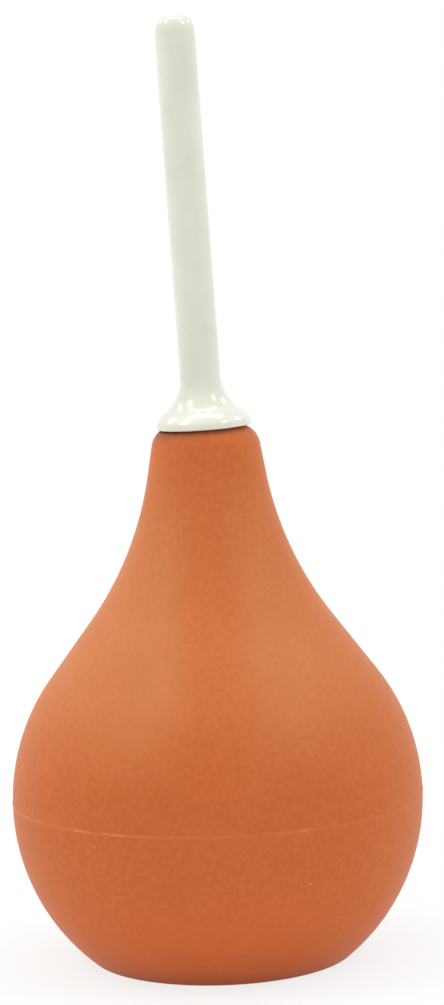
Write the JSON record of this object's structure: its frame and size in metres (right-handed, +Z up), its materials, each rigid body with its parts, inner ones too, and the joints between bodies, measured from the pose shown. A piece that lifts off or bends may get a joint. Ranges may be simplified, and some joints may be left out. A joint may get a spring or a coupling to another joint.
{
  "type": "enema bulb syringe",
  "caption": "Pear-shaped rubber squeeze bulb standing on a flat foot, with a slim hard white nozzle pushed into its neck, for drawing in and pressing out liquid.",
  "frame": {"origin": "middle of the foot, on the surface that the bulb stands on", "axes": "+Z up along the bulb's axis, the nozzle leans 2.3 degrees towards -X, and the picture looks along +Y"},
  "size_m": [0.0802, 0.0802, 0.1822],
  "materials": {
    "rubber": "satin terracotta-orange rubber with a fine dusty bloom",
    "nozzle_plastic": "glossy off-white moulded plastic"
  },
  "bodies": {
    "base": {"bulb_lower": "rubber"},
    "crown": {"bulb_upper": "rubber"},
    "nozzle": {"nozzle": "nozzle_plastic"}
  },
  "joints": [
    {"name": "squeeze", "type": "slide", "parent": "base", "child": "crown", "axis": [0, 0, -1], "range_m": [0, 0.025], "stiffness_N_per_m": 600, "springref_m": -0.002, "deforming": ["bulb_lower"]},
    {"name": "nozzle_pull", "type": "slide", "parent": "crown", "child": "nozzle", "axis": [-0.0401, 0, 0.9992], "range_m": [0, 0.035]}
  ]
}
